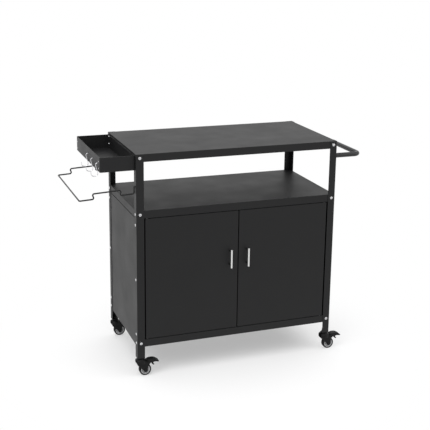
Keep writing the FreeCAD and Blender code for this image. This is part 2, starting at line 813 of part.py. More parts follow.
def hexagon_nut(base, axis, flats, height, bore):
    corner = flats / math.sqrt(3)
    corners = []
    for index in range(7):
        angle = math.radians(60 * index)
        corners.append(FreeCAD.Vector(corner * math.cos(angle), corner * math.sin(angle), 0))
    prism = Part.Face(Part.makePolygon(corners)).extrude(ALONG_Z * height)
    nut = prism.cut(Part.makeCylinder(bore, height))
    nut.Placement = FreeCAD.Placement(base, FreeCAD.Rotation(ALONG_Z, axis))
    return nut


# Bag holder: one bent rod, hooked through both left posts and stepped down twice on the way out


def holder_arm(y):
    hole = size("frame_top") - size("holder_below_top")
    drop = hole - size("holder_drop")
    slope = size("holder_slope")
    step = size("holder_step")
    leg = size("holder_radius") + size("bolt_play") + size("angle_wall")
    near_x = -size("holder_near")
    far_x = -size("holder_far")
    outer_x = size("holder_radius") - size("reach_left")
    lean = size("holder_lean")
    inner_x = size("angle_wall") + size("holder_radius") + size("bolt_play")
    low_near = drop + slope * near_x
    return [
        FreeCAD.Vector(inner_x, y, hole + size("holder_tip")),
        FreeCAD.Vector(inner_x, y, hole),
        FreeCAD.Vector(-leg, y, hole),
        FreeCAD.Vector(-leg, y, drop),
        FreeCAD.Vector(near_x, y, low_near),
        FreeCAD.Vector(near_x + lean, y, low_near + step),
        FreeCAD.Vector(far_x - lean, y, drop + step + slope * far_x),
        FreeCAD.Vector(far_x + lean, y, drop + slope * far_x),
        FreeCAD.Vector(outer_x, y, drop + slope * outer_x),
    ]


front_arm = holder_arm(size("bolt_inset"))
back_arm = holder_arm(size("frame_depth") - size("bolt_inset"))
arm_bends = [size("holder_end_bend")] * 2 + [size("holder_bend")] * 6
holder_bends = arm_bends + arm_bends[::-1]
add_solids("bag_holder", [rod(front_arm + back_arm[::-1], holder_bends, size("holder_radius"))])


# Towel bar: round tube bent to a U, with plugged ends against the right posts


def towel_bar():
    bore = size("towel_radius") - size("towel_wall")
    x = size("frame_width")
    z = size("frame_top") - size("towel_below_top")
    front_y = size("bolt_inset")
    back_y = size("frame_depth") - size("bolt_inset")
    outer_x = x + size("reach_right") - size("towel_radius")
    corners = [
        FreeCAD.Vector(x, front_y, z),
        FreeCAD.Vector(outer_x, front_y, z),
        FreeCAD.Vector(outer_x, back_y, z),
        FreeCAD.Vector(x, back_y, z),
    ]
    bends = [size("towel_bend"), size("towel_bend")]
    room = [FreeCAD.Vector(corner) for corner in corners]
    room[0].x += size("towel_plug")
    room[-1].x += size("towel_plug")
    bar = rod(corners, bends, size("towel_radius")).cut(rod(room, bends, bore))
    for y in (front_y, back_y):
        hole = Part.makeCylinder(
            size("towel_screw_radius"), size("towel_plug"), FreeCAD.Vector(x, y, z), ALONG_X
        )
        bar = bar.cut(hole)
    add_solids("towel_bar", bar.Solids)


towel_bar()


# Utensil hooks: S shaped wire through the tray's outer wall

tray_top = size("frame_top") - size("tray_below_top")


def utensil_hook(label, y):
    wire = size("hook_radius")
    wall_x = size("tray_wall") / 2 - size("tray_width")
    hole = tray_top - size("hook_hole_drop")
    top = hole - size("hook_hole_radius") + wire + size("hook_play")
    reach = size("hook_top_reach")
    floor = top - size("hook_drop")
    # The shank hangs from the hole and leans on the lower edge of the tray's outer wall
    edge_x = -size("tray_wall") / 2 - wire - size("hook_play")
    edge_z = tray_top - size("tray_height")
    share = (top - floor) / (top - edge_z)
    shank_x = wall_x - reach + (edge_x + reach) * share
    outer_x = shank_x - size("hook_throat")
    points = [
        FreeCAD.Vector(wall_x + reach, y, top - size("hook_tip_drop")),
        FreeCAD.Vector(wall_x + reach, y, top),
        FreeCAD.Vector(wall_x - reach, y, top),
        FreeCAD.Vector(shank_x, y, floor),
        FreeCAD.Vector(outer_x, y, floor),
        FreeCAD.Vector(outer_x - size("hook_flare"), y, floor + size("hook_tip_rise")),
    ]
    top_bend = size("hook_top_bend")
    bottom_bend = size("hook_bottom_bend")
    bends = [top_bend, top_bend, bottom_bend, bottom_bend]
    add_solids(label, [rod(points, bends, wire)])


for number in range(3):
    place_y = size("hook_first") + number * size("hook_spacing")
    utensil_hook(f"utensil_hook_{number + 1}", place_y)


# Frame bolts and nuts, tray bolts, towel bar screws and caster nuts


def bolt(base, inward, grip):
    radius = size("bolt_radius")
    head = size("bolt_head_radius")
    height = size("bolt_head_height")
    tail = grip + size("nut_height") + size("bolt_tail")
    profile = [
        (0, -height),
        (0.5 * head, -height),
        (0.85 * head, -0.6 * height),
        (head, 0),
        (radius, 0),
        (radius, tail),
        (0, tail),
    ]
    return turned(profile, base, inward)


def nut(base, inward, grip):
    return hexagon_nut(
        base + inward * grip, inward, size("nut_flats"), size("nut_height"), size("bolt_radius")
    )


angle = size("angle_wall")
rim_wall = size("shelf_wall")
panel = size("panel_wall")
inset = size("bolt_inset")
width = size("frame_width")
depth = size("frame_depth")
top_bolt = size("frame_top") - size("shelf_rim") / 2
mid_bolt = size("mid_shelf_top") - size("shelf_rim") / 2
bottom_bolt = size("bottom_shelf_top") - size("shelf_rim") / 2
panel_low = size("bottom_shelf_top") - size("shelf_rim")
panel_high = size("mid_shelf_top") - size("shelf_rim") - size("panel_top_gap")
panel_bolts = [
    panel_high - size("panel_high_bolt_drop"),
    panel_low + size("panel_middle_bolt_rise"),
    panel_low + size("panel_low_bolt_rise"),
]
tray_low_bolt = tray_top - size("tray_height") + size("tray_low_bolt_rise")
dome_bottom = 2 * size("wheel_radius") + size("wheel_top_gap")
cover_bottom = dome_bottom + size("dome_height") + size("swivel_gap")
cone_top = cover_bottom + size("stem_cover_thickness") + size("stem_cone_height")
post_bottom = cone_top + size("stem_neck")

bolts = []
nuts = []


def fasten(base, inward, grip):
    bolts.append(bolt(base, inward, grip))
    nuts.append(nut(base, inward, grip))


for x in (inset, width - inset):
    fasten(FreeCAD.Vector(x, 0, top_bolt), ALONG_Y, angle + rim_wall)
    fasten(FreeCAD.Vector(x, 0, mid_bolt), ALONG_Y, angle + rim_wall)
    fasten(FreeCAD.Vector(x, 0, bottom_bolt), ALONG_Y, angle + rim_wall)
    fasten(FreeCAD.Vector(x, depth, top_bolt), -ALONG_Y, angle + rim_wall)
    fasten(FreeCAD.Vector(x, depth, mid_bolt), -ALONG_Y, angle + rim_wall)
    fasten(FreeCAD.Vector(x, depth, bottom_bolt), -ALONG_Y, angle + panel + rim_wall)
    for height in panel_bolts:
        fasten(FreeCAD.Vector(x, depth, height), -ALONG_Y, angle + panel)
for y in (inset, depth - inset):
    fasten(FreeCAD.Vector(width, y, top_bolt), -ALONG_X, angle + rim_wall)
    for face_x, inward in ((0, ALONG_X), (width, -ALONG_X)):
        fasten(FreeCAD.Vector(face_x, y, mid_bolt), inward, angle + rim_wall)
        fasten(FreeCAD.Vector(face_x, y, bottom_bolt), inward, angle + panel + rim_wall)
        for height in panel_bolts:
            fasten(FreeCAD.Vector(face_x, y, height), inward, angle + panel)
add_solids("frame_bolts", bolts)
add_solids("frame_nuts", nuts)

tray_parts = []
for y in (size("tray_bolt_y"), depth - size("tray_bolt_y")):
    for height, grip in ((top_bolt, angle + rim_wall), (tray_low_bolt, angle)):
        seat = FreeCAD.Vector(-size("tray_wall"), y, height)
        tray_parts.append(bolt(seat, ALONG_X, grip + size("tray_wall")))
        tray_parts.append(nut(seat, ALONG_X, grip + size("tray_wall")))
add_solids("tray_bolts", tray_parts)

rivets = []
rivet_bottom = tray_top - size("tray_height")
rivet_y = size("tray_front") + size("tray_rivet_inset")
for y in (rivet_y, depth - rivet_y):
    for rise in (size("tray_rivet_low"), size("tray_rivet_high")):
        spot = FreeCAD.Vector(-size("tray_width"), y, rivet_bottom + rise)
        dome = [
            (0, 0),
            (size("rivet_radius"), 0),
            (0.7 * size("rivet_radius"), 0.8 * size("rivet_height")),
            (0, size("rivet_height")),
        ]
        rivets.append(turned(dome, spot, -ALONG_X))
add_solids("tray_rivets", rivets)

towel_screws = []
for y in (inset, depth - inset):
    seat = FreeCAD.Vector(width - angle, y, size("frame_top") - size("towel_below_top"))
    profile = [
        (0, -size("towel_screw_height")),
        (0.7 * size("towel_screw_head"), -size("towel_screw_height")),
        (size("towel_screw_head"), 0),
        (size("towel_screw_radius"), 0),
        (size("towel_screw_radius"), angle + size("towel_plug")),
        (0, angle + size("towel_plug")),
    ]
    towel_screws.append(turned(profile, seat, ALONG_X))
add_solids("towel_bar_screws", towel_screws)

caster_nuts = []
for x in (inset, width - inset):
    for y in (inset, depth - inset):
        caster_nuts.append(
            hexagon_nut(
                FreeCAD.Vector(x, y, post_bottom + angle),
                ALONG_Z,
                size("caster_nut_flats"),
                size("caster_nut_height"),
                size("stem_radius"),
            )
        )
add_solids("caster_nuts", caster_nuts)


# Pivot pins of the doors, riveted into the shelves

pivot_y = size("door_setback") + size("door_thickness") / 2
pivot_x = size("angle_leg") + size("door_post_gap") + size("pivot_inset")
pins = []
for x in (pivot_x, width - pivot_x):
    for seat, gap, upward in (
        (size("bottom_shelf_top"), size("door_bottom_gap"), ALONG_Z),
        (size("mid_shelf_top") - size("shelf_rim"), size("door_top_gap"), -ALONG_Z),
    ):
        collar = gap - size("pivot_collar_gap")
        profile = [
            (0, -rim_wall - size("pivot_head")),
            (size("pivot_collar"), -rim_wall - size("pivot_head")),
            (size("pivot_collar"), -rim_wall),
            (size("pivot_radius"), -rim_wall),
            (size("pivot_radius"), 0),
            (size("pivot_collar"), 0),
            (size("pivot_collar"), collar),
            (size("pivot_radius"), collar),
            (size("pivot_radius"), gap + size("pivot_reach")),
            (0, gap + size("pivot_reach")),
        ]
        pins.append(turned(profile, FreeCAD.Vector(x, pivot_y, seat), upward))
add_solids("door_hinge_pins", pins)


# Magnetic catch hung from the lip of the mid shelf

catch = new_body(
    "door_catch", "(Sizes.frame_width - Sizes.catch_width) / 2", "0", MID_RIM_BOTTOM
)
catch_front = "(Sizes.door_setback + Sizes.door_thickness + Sizes.catch_gap)"
catch_back = f"({catch_front} + Sizes.catch_depth)"
catch_profile = new_sketch(catch, "YZ_Plane")
outline(catch_profile, [
    ("Sizes.catch_plate_front", "0"),
    ("Sizes.catch_plate_front", "-Sizes.catch_plate"),
    (catch_front, "-Sizes.catch_plate"),
    (catch_front, "-Sizes.catch_drop"),
    (catch_back, "-Sizes.catch_drop"),
    (catch_back, "0"),
])
pad(catch, catch_profile, "Sizes.catch_width")
catch_low = -size("catch_drop")
catch_behind = size("door_setback") + size("door_thickness") + size("catch_gap") + 1


def catch_edge(edge):
    middle = edge.CenterOfMass
    return near(edge.BoundBox.ZMax, catch_low) or (
        is_line(edge, ALONG_Z) and middle.y > catch_behind
    )


round_edges(catch, "Sizes.catch_round", catch_edge)


# Handle posts: black spacers between bar and door, riveted inside the door


def handle_posts(label, side):
    x = width / 2 + side * size("handle_offset")
    bar_y = size("handle_radius") - size("reach_front")
    seat_y = size("door_setback")
    bar = Part.makeCylinder(
        size("handle_radius"),
        size("handle_length"),
        FreeCAD.Vector(x, bar_y, size("handle_middle") - size("handle_length") / 2),
    )
    posts = []
    for rise in (-1, 1):
        z = size("handle_middle") + rise * size("handle_post_spacing") / 2
        length = seat_y - bar_y
        profile = [
            (0, -length),
            (size("handle_post_radius"), -length),
            (size("handle_post_radius"), 0),
            (size("handle_spigot_radius"), 0),
            (size("handle_spigot_radius"), size("door_wall")),
            (size("handle_screw_head"), size("door_wall")),
            (size("handle_screw_head"), size("door_wall") + size("handle_screw_height")),
            (0, size("door_wall") + size("handle_screw_height")),
        ]
        post = turned(profile, FreeCAD.Vector(x, seat_y, z), ALONG_Y)
        posts.append(post.cut(bar))
    add_solids(label, posts)


handle_posts("handle_posts_left", -1)
handle_posts("handle_posts_right", 1)


# Casters: the wheel trails to one side of the stem and carries a brake pedal over it


def caster_stem(label, x, y):
    body = new_body(label, x, y)
    drawing = new_sketch(body, "XZ_Plane")
    foot_top = f"({DOME_TOP} - Sizes.dome_plate - Sizes.swivel_gap)"
    outline(drawing, [
        ("0", f"{foot_top} - Sizes.stem_foot_height"),
        ("Sizes.stem_foot_radius", f"{foot_top} - Sizes.stem_foot_height"),
        ("Sizes.stem_foot_radius", foot_top),
        ("Sizes.stem_radius", foot_top),
        ("Sizes.stem_radius", COVER_BOTTOM),
        ("Sizes.stem_cover_radius", COVER_BOTTOM),
        ("Sizes.stem_cover_radius", COVER_EDGE),
        ("Sizes.stem_cone_radius", CONE_TOP),
        ("Sizes.stem_cone_radius", POST_BOTTOM),
        ("Sizes.stem_radius", POST_BOTTOM),
        ("Sizes.stem_radius", f"{STEM_TOP} - Sizes.stem_chamfer"),
        ("Sizes.stem_radius - Sizes.stem_chamfer", STEM_TOP),
        ("0", STEM_TOP),
    ])
    turn(body, drawing, "Z_Axis")


def caster_fork(label, x, y):
    body = new_body(label, x, y)
    dome = new_sketch(body, "XZ_Plane")
    bore = "(Sizes.stem_radius + Sizes.swivel_play)"
    plate_low = f"({DOME_TOP} - Sizes.dome_plate)"
    outline(dome, [
        (bore, plate_low),
        ("Sizes.dome_radius - Sizes.dome_wall", plate_low),
        ("Sizes.dome_radius - Sizes.dome_wall", DOME_BOTTOM),
        ("Sizes.dome_radius", DOME_BOTTOM),
        ("Sizes.dome_radius", f"{DOME_TOP} - Sizes.dome_shoulder_drop"),
        ("Sizes.dome_shoulder", DOME_TOP),
        (bore, DOME_TOP),
    ])
    turn(body, dome, "Z_Axis")

    def shoulder(edge):
        if edge.Curve.TypeId != "Part::GeomCircle":
            return False
        high = edge.CenterOfMass.z > dome_bottom + size("dome_height") / 2
        return near(edge.Curve.Radius, size("dome_radius")) and high

    round_edges(body, "Sizes.dome_wall", shoulder)

    leg_outside = "2 * (Sizes.fork_inside + Sizes.fork_leg_wall)"
    legs = new_sketch(body, "XZ_Plane")
    axle_x = "Sizes.caster_trail"
    boss = "Sizes.axle_boss_radius"
    outline(legs, [
        ("-Sizes.fork_back", f"{DOME_TOP} - Sizes.dome_shoulder_drop"),
        ("-Sizes.fork_shoulder", f"{plate_low} + Sizes.dome_plate / 2"),
        ("Sizes.fork_shoulder", f"{plate_low} + Sizes.dome_plate / 2"),
        ("Sizes.fork_front", f"{DOME_TOP} - Sizes.dome_shoulder_drop"),
        (f"{PIN_X} + Sizes.pedal_boss_radius / 2", PIN_Z),
        (f"{axle_x} + {boss}", "Sizes.wheel_radius"),
        (f"{axle_x}", f"Sizes.wheel_radius - {boss} / 2"),
        (f"{axle_x} - {boss}", "Sizes.wheel_radius"),
        ("-Sizes.fork_back", f"{DOME_BOTTOM} - Sizes.fork_back_low"),
    ])
    pad(body, legs, leg_outside, middle=True)
    bosses = new_sketch(body, "XZ_Plane")
    circle(bosses, axle_x, "Sizes.wheel_radius", boss)
    pad(body, bosses, leg_outside, middle=True)
    lobes = new_sketch(body, "XZ_Plane")
    circle(lobes, PIN_X, PIN_Z, "Sizes.pedal_boss_radius")
    pad(body, lobes, leg_outside, middle=True)
    slot = new_sketch(body, "XZ_Plane")
    rectangle(
        slot,
        "-2 * Sizes.dome_radius",
        "-Sizes.wheel_radius",
        "4 * Sizes.dome_radius",
        plate_low,
    )
    cut_down(body, slot, "2 * Sizes.fork_inside", middle=True)
    king_bore = new_sketch(body, "XY_Plane")
    circle(king_bore, "0", "0", bore)
    cut_through(body, king_bore)
    pin_holes = new_sketch(body, "XZ_Plane")
    circle(pin_holes, axle_x, "Sizes.wheel_radius", "Sizes.axle_radius")
    circle(pin_holes, PIN_X, PIN_Z, "Sizes.pedal_pin_radius")
    cut_through(body, pin_holes)


def wheel_turned(label, x, y, corners, round_radius=None, wanted=None):
    body = new_body(label, f"{x} + Sizes.caster_trail", y, "Sizes.wheel_radius")
    drawing = new_sketch(body, "YZ_Plane")
    outline(drawing, corners)
    turn(body, drawing, "Y_Axis")
    if wanted is not None:
        round_edges(body, round_radius, wanted)


def caster_wheel(label, x, y):
    bore = "(Sizes.axle_radius + Sizes.axle_play)"
    wheel_turned(label, x, y, [
        (f"-{HUB_HALF}", bore),
        (HUB_HALF, bore),
        (HUB_HALF, "Sizes.hub_radius"),
        ("Sizes.web_half_width", "Sizes.hub_radius"),
        ("Sizes.web_half_width", RIM_INSIDE),
        (RIM_HALF, RIM_INSIDE),
        (RIM_HALF, TYRE_SEAT),
        (f"-{RIM_HALF}", TYRE_SEAT),
        (f"-{RIM_HALF}", RIM_INSIDE),
        ("-Sizes.web_half_width", RIM_INSIDE),
        ("-Sizes.web_half_width", "Sizes.hub_radius"),
        (f"-{HUB_HALF}", "Sizes.hub_radius"),
    ])


def caster_tyre(label, x, y):
    def shoulder(edge):
        circle_edge = edge.Curve.TypeId == "Part::GeomCircle"
        return circle_edge and near(edge.Curve.Radius, size("wheel_radius"))

    wheel_turned(label, x, y, [
        (f"-{TYRE_HALF}", TYRE_SEAT),
        (TYRE_HALF, TYRE_SEAT),
        (TYRE_HALF, "Sizes.wheel_radius"),
        (f"-{TYRE_HALF}", "Sizes.wheel_radius"),
    ], "Sizes.tyre_round", shoulder)


def caster_pins(label, x, y):
    outside = size("fork_inside") + size("fork_leg_wall")
    pin_x = size("caster_trail") + size("pedal_pin_ahead")
    pin_z = dome_bottom + size("pedal_pin_rise")
    pins = []
    for spot_x, spot_z, shaft, head, height in (
        (size("caster_trail"), size("wheel_radius"), "axle_radius", "axle_head_radius",
         "axle_head_height"),
        (pin_x, pin_z, "pedal_pin_radius", "pedal_pin_head_radius", "pedal_pin_head_height"),
    ):
        profile = [
            (0, -outside - size(height)),
            (0.7 * size(head), -outside - size(height)),
            (size(head), -outside),
            (size(shaft), -outside),
            (size(shaft), outside),
            (size(head), outside),
            (0.7 * size(head), outside + size(height)),
            (0, outside + size(height)),
        ]
        pins.append(turned(profile, FreeCAD.Vector(x + spot_x, y, spot_z), ALONG_Y))
    add_solids(label, pins)


# The pedal's side view: shares of its reach beyond the pin and of its rise above it,
# going over the arm to the tip, back to the hooked claw and to the shoe that meets the tyre
PEDAL_OUTLINE = [
    (-0.13, 0.22), (-0.08, 0.63), (0.09, 0.89), (0.26, 1), (0.52, 0.96), (0.7, 0.78),
    (0.87, 0.41), (1, 0.07), (0.98, -0.19), (0.78, -0.04), (0.54, -0.04), (0.48, -0.26),
    (0.55, -0.59), (0.59, -0.85), (0.52, -1), (0.39, -0.67), (0.32, -0.22), (0.23, -0.26),
    (0.18, -0.59), (0.12, -0.67), (0.04, -0.52), (-0.09, -0.3),
]


def brake_pedal(label, x, y):
    body = new_body(label, f"{x} + {PIN_X}", y, PIN_Z)
    drawing = new_sketch(body, "XZ_Plane")
    outline(drawing, [
        (f"{along} * Sizes.pedal_reach", f"{up} * Sizes.pedal_rise") for along, up in PEDAL_OUTLINE
    ])
    pad(body, drawing, "2 * (Sizes.fork_inside - Sizes.pedal_side_gap)", middle=True)

    def bend(edge):
        return is_line(edge, ALONG_Y)

    round_edges(body, "Sizes.pedal_round", bend)
    bore = new_sketch(body, "XZ_Plane")
    circle(bore, "0", "0", "Sizes.pedal_pin_radius + Sizes.pedal_pin_play")
    cut_through(body, bore)


for corner, x, y in (
    ("front_left", "Sizes.bolt_inset", "Sizes.bolt_inset"),
    ("front_right", "(Sizes.frame_width - Sizes.bolt_inset)", "Sizes.bolt_inset"),
    ("back_left", "Sizes.bolt_inset", "(Sizes.frame_depth - Sizes.bolt_inset)"),
    (
        "back_right",
        "(Sizes.frame_width - Sizes.bolt_inset)",
        "(Sizes.frame_depth - Sizes.bolt_inset)",
    ),
):
    caster_stem(f"caster_stem_{corner}", x, y)
    caster_fork(f"caster_fork_{corner}", x, y)
    caster_wheel(f"caster_wheel_{corner}", x, y)
    caster_tyre(f"caster_tyre_{corner}", x, y)
    brake_pedal(f"brake_pedal_{corner}", x, y)
    pin_x = inset if corner.endswith("left") else width - inset
    pin_y = inset if corner.startswith("front") else depth - inset
    caster_pins(f"caster_pins_{corner}", pin_x, pin_y)


# Check every object, then write one file per node

doc.recompute()
broken = []
for item in doc.Objects:
    if "Invalid" in item.State or "Error" in item.State:
        broken.append(item.Label)
if broken:
    raise SystemExit("objects in error: " + ", ".join(broken))

whole = FreeCAD.BoundBox()
for node in nodes:
    shape = node.Shape
    if shape.isNull() or not shape.isValid() or not shape.Solids:
        raise SystemExit("bad shape: " + node.Label)
    placed = shape.copy()
    whole.add(placed.BoundBox)
    placed.exportStep(f"parts/{node.Label}.step")
print(len(nodes), "nodes", whole)
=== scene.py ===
import json
import math

import bmesh
import bpy
from mathutils import Matrix, Vector
from mathutils.bvhtree import BVHTree


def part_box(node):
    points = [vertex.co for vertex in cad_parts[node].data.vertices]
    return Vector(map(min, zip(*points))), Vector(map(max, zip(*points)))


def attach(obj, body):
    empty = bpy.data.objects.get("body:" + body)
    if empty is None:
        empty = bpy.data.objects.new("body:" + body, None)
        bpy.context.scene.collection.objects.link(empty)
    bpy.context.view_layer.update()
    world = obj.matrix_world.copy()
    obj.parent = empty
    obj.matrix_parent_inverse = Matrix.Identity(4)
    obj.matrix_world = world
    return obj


# Grill cart with storage: looks, light and camera on the measured frame

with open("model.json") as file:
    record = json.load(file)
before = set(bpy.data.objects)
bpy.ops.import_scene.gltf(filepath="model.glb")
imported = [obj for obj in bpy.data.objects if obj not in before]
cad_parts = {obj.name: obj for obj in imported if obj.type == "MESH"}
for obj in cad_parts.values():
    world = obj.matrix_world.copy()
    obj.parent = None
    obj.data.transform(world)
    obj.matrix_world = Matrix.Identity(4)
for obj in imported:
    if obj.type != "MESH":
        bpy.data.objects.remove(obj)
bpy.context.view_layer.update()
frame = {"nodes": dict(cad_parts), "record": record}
nodes = frame["nodes"]
scene = bpy.context.scene
CORNERS = ("front_left", "front_right", "back_left", "back_right")
SIDES = (-1.0, 1.0)
UP = Vector((0, 0, 1))
WHITE = (1.0, 1.0, 1.0, 1.0)
SHARP_ANGLE = math.radians(32)


# Node helpers


def add_node(tree, kind, **values):
    node = tree.nodes.new(kind)
    for key, value in values.items():
        setattr(node, key, value)
    return node


def remap(tree, value, source, result, curve="LINEAR"):
    """Value carried over from one (low, high) pair to another."""
    change = add_node(tree, "ShaderNodeMapRange", interpolation_type=curve)
    sockets = ("From Min", "From Max", "To Min", "To Max")
    for socket, end in zip(sockets, (*source, *result)):
        change.inputs[socket].default_value = end
    tree.links.new(value, change.inputs["Value"])
    return change.outputs["Result"]


def two_tones(tree, value, first, second):
    ramp = add_node(tree, "ShaderNodeMix", data_type="RGBA")
    ramp.inputs["A"].default_value = (*first, 1.0)
    ramp.inputs["B"].default_value = (*second, 1.0)
    tree.links.new(value, ramp.inputs["Factor"])
    return ramp.outputs["Result"]


def mixed(tree, share, first, second):
    """First shader where the share is 0, second where it is 1."""
    mix = add_node(tree, "ShaderNodeMixShader")
    tree.links.new(share, mix.inputs["Fac"])
    tree.links.new(first, mix.inputs[1])
    tree.links.new(second, mix.inputs[2])
    return mix.outputs["Shader"]


def total(tree, values):
    whole = values[0]
    for value in values[1:]:
        added = add_node(tree, "ShaderNodeMath", operation="ADD")
        tree.links.new(whole, added.inputs[0])
        tree.links.new(value, added.inputs[1])
        whole = added.outputs["Value"]
    return whole


def seeing_rays(tree):
    """1 for the rays that show the surroundings: straight, mirrored and refracted ones."""
    rays = add_node(tree, "ShaderNodeLightPath")
    kinds = ("Is Camera Ray", "Is Glossy Ray", "Is Transmission Ray")
    return total(tree, [rays.outputs[kind] for kind in kinds])


# Materials: noise scales are per metre, bump heights and rounded edges in metres

EVEN = (1.0, 1.0, 1.0)
NOISE_RANGE = (0.3, 0.7)
EDGE_SAMPLES = 4

COAT_GRAIN = 900.0
COAT_CLOUD = 9.0
COAT_BUMP = 0.10
COAT_BUMP_HEIGHT = 0.0003
COAT_EDGE = 0.0008

METAL_STREAKS = 60.0
METAL_LIGHTER = 1.12
METAL_BUMP = 0.04
METAL_BUMP_HEIGHT = 0.0002

MOULD_CLOUD = 40.0
MOULD_BUMP_HEIGHT = 0.0003
MOULD_EDGE = 0.0006


def new_material(name):
    material = bpy.data.materials.new(name)
    material.use_nodes = True
    tree = material.node_tree
    return material, tree, tree.nodes["Principled BSDF"]


def noise(tree, scale, detail=3.0, stretch=EVEN):
    place = add_node(tree, "ShaderNodeTexCoord")
    mapping = add_node(tree, "ShaderNodeMapping")
    mapping.inputs["Scale"].default_value = stretch
    texture = add_node(tree, "ShaderNodeTexNoise")
    texture.inputs["Scale"].default_value = scale
    texture.inputs["Detail"].default_value = detail
    tree.links.new(place.outputs["Object"], mapping.inputs["Vector"])
    tree.links.new(mapping.outputs["Vector"], texture.inputs["Vector"])
    return texture.outputs["Fac"]


def bumped(tree, shader, value, strength, height, edge=0.0):
    bump = add_node(tree, "ShaderNodeBump")
    bump.inputs["Strength"].default_value = strength
    bump.inputs["Distance"].default_value = height
    tree.links.new(value, bump.inputs["Height"])
    if edge:
        soft = add_node(tree, "ShaderNodeBevel", samples=EDGE_SAMPLES)
        soft.inputs["Radius"].default_value = edge
        tree.links.new(soft.outputs["Normal"], bump.inputs["Normal"])
    tree.links.new(bump.outputs["Normal"], shader.inputs["Normal"])


def powder_coat(name, dark, light, rough, level):
    """Powder paint: the grain sets tone and bump, wide clouds set the roughness."""
    material, tree, shader = new_material(name)
    grain = noise(tree, COAT_GRAIN, detail=2.0)
    cloud = noise(tree, COAT_CLOUD)
    tree.links.new(two_tones(tree, grain, dark, light), shader.inputs["Base Color"])
    tree.links.new(remap(tree, cloud, NOISE_RANGE, rough), shader.inputs["Roughness"])
    shader.inputs["Specular IOR Level"].default_value = level
    bumped(tree, shader, grain, COAT_BUMP, COAT_BUMP_HEIGHT, edge=COAT_EDGE)
    return material


def bright_metal(name, tone, rough, stretch=EVEN):
    """Bare metal: the same streaks set tone, roughness and bump."""
    material, tree, shader = new_material(name)
    streak = noise(tree, METAL_STREAKS, detail=4.0, stretch=stretch)
    lighter = tuple(min(1.0, part * METAL_LIGHTER) for part in tone)
    tree.links.new(two_tones(tree, streak, tone, lighter), shader.inputs["Base Color"])
    tree.links.new(remap(tree, streak, NOISE_RANGE, rough), shader.inputs["Roughness"])
    shader.inputs["Metallic"].default_value = 1.0
    bumped(tree, shader, streak, METAL_BUMP, METAL_BUMP_HEIGHT)
    return material


def moulded(name, dark, light, rough, level=0.5, grain_scale=700.0, bump=0.15):
    """Plastic or rubber: clouds set the tone, the grain sets roughness and bump."""
    material, tree, shader = new_material(name)
    grain = noise(tree, grain_scale)
    cloud = noise(tree, MOULD_CLOUD, detail=2.0)
    tree.links.new(two_tones(tree, cloud, dark, light), shader.inputs["Base Color"])
    tree.links.new(remap(tree, grain, NOISE_RANGE, rough), shader.inputs["Roughness"])
    shader.inputs["Specular IOR Level"].default_value = level
    bumped(tree, shader, grain, bump, MOULD_BUMP_HEIGHT, edge=MOULD_EDGE)
    return material


MATERIALS = {
    "black_steel": powder_coat(
        "black_steel", dark=(0.0080, 0.0080, 0.0083), light=(0.0120, 0.0120, 0.0125),
        rough=(0.45, 0.52), level=0.26
    ),
    "holder_wire": powder_coat(
        "holder_wire", dark=(0.007, 0.007, 0.0073), light=(0.011, 0.011, 0.0115),
        rough=(0.32, 0.42), level=0.3
    ),
    "dark_tube": powder_coat(
        "dark_tube", dark=(0.012, 0.012, 0.0132), light=(0.018, 0.018, 0.0198),
        rough=(0.30, 0.38), level=0.4
    ),
    "bright_steel": bright_metal("bright_steel", tone=(0.60, 0.60, 0.61), rough=(0.20, 0.34)),
    # Much darker copy of bright_steel, painted shade for the hinge pins in the door gaps
    "pin_steel_painted_shade": bright_metal("pin_steel_painted_shade", tone=(0.14, 0.14, 0.145), rough=(0.30, 0.42)),
    "handle_steel": bright_metal(
        "handle_steel", tone=(0.68, 0.68, 0.67), rough=(0.24, 0.36), stretch=(9.0, 9.0, 0.3)
    ),
    "hook_wire": bright_metal("hook_wire", tone=(0.70, 0.70, 0.72), rough=(0.10, 0.20)),
    "caster_steel": powder_coat(
        "caster_steel", dark=(0.005, 0.005, 0.0052), light=(0.009, 0.009, 0.0094),
        rough=(0.34, 0.44), level=0.16
    ),
    "black_plastic": moulded(
        "black_plastic", dark=(0.005, 0.005, 0.0052), light=(0.009, 0.009, 0.0094),
        rough=(0.38, 0.52), level=0.18
    ),
    "hub_plastic": moulded(
        "hub_plastic", dark=(0.50, 0.50, 0.51), light=(0.58, 0.58, 0.59), rough=(0.38, 0.50)
    ),
    "tyre_rubber": moulded(
        "tyre_rubber", dark=(0.005, 0.005, 0.0052), light=(0.009, 0.009, 0.0093),
        rough=(0.55, 0.70), level=0.14, grain_scale=500.0, bump=0.3
    ),
}
for part in frame["record"]["subparts"]:
    mesh = nodes[part["node"]].data
    mesh.materials.clear()
    mesh.materials.append(MATERIALS[part["material_slot"]])
    mesh.shade_smooth()
    mesh.set_sharp_from_angle(angle=SHARP_ANGLE)
# The hinge pins get a much darker copy of the bolt steel: painted shade for pins that sit in the
# door gaps
nodes["door_hinge_pins"].data.materials[0] = MATERIALS["pin_steel_painted_shade"]


# Helpers for the small parts that the solids leave out

MERGE_DISTANCE = 1e-6
# Corners of a block in order round its base, as signs of half its length and width
BLOCK_CORNERS = ((-1, -1), (1, -1), (1, 1), (-1, 1))
# Faces of a block: corners 0 to 3 are at its base, 4 to 7 at its top
BLOCK_FACES = ((3, 2, 1, 0), (4, 5, 6, 7), (0, 1, 5, 4), (1, 2, 6, 5), (2, 3, 7, 6), (3, 0, 4, 7))


def new_piece(name, shape, body, slot):
    """Turns a finished bmesh into an object that moves with a body."""
    mesh = bpy.data.meshes.new(name)
    shape.to_mesh(mesh)
    shape.free()
    mesh.materials.append(MATERIALS[slot])
    piece = bpy.data.objects.new(name, mesh)
    scene.collection.objects.link(piece)
    mesh.shade_smooth()
    mesh.set_sharp_from_angle(angle=SHARP_ANGLE)
    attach(piece, body)


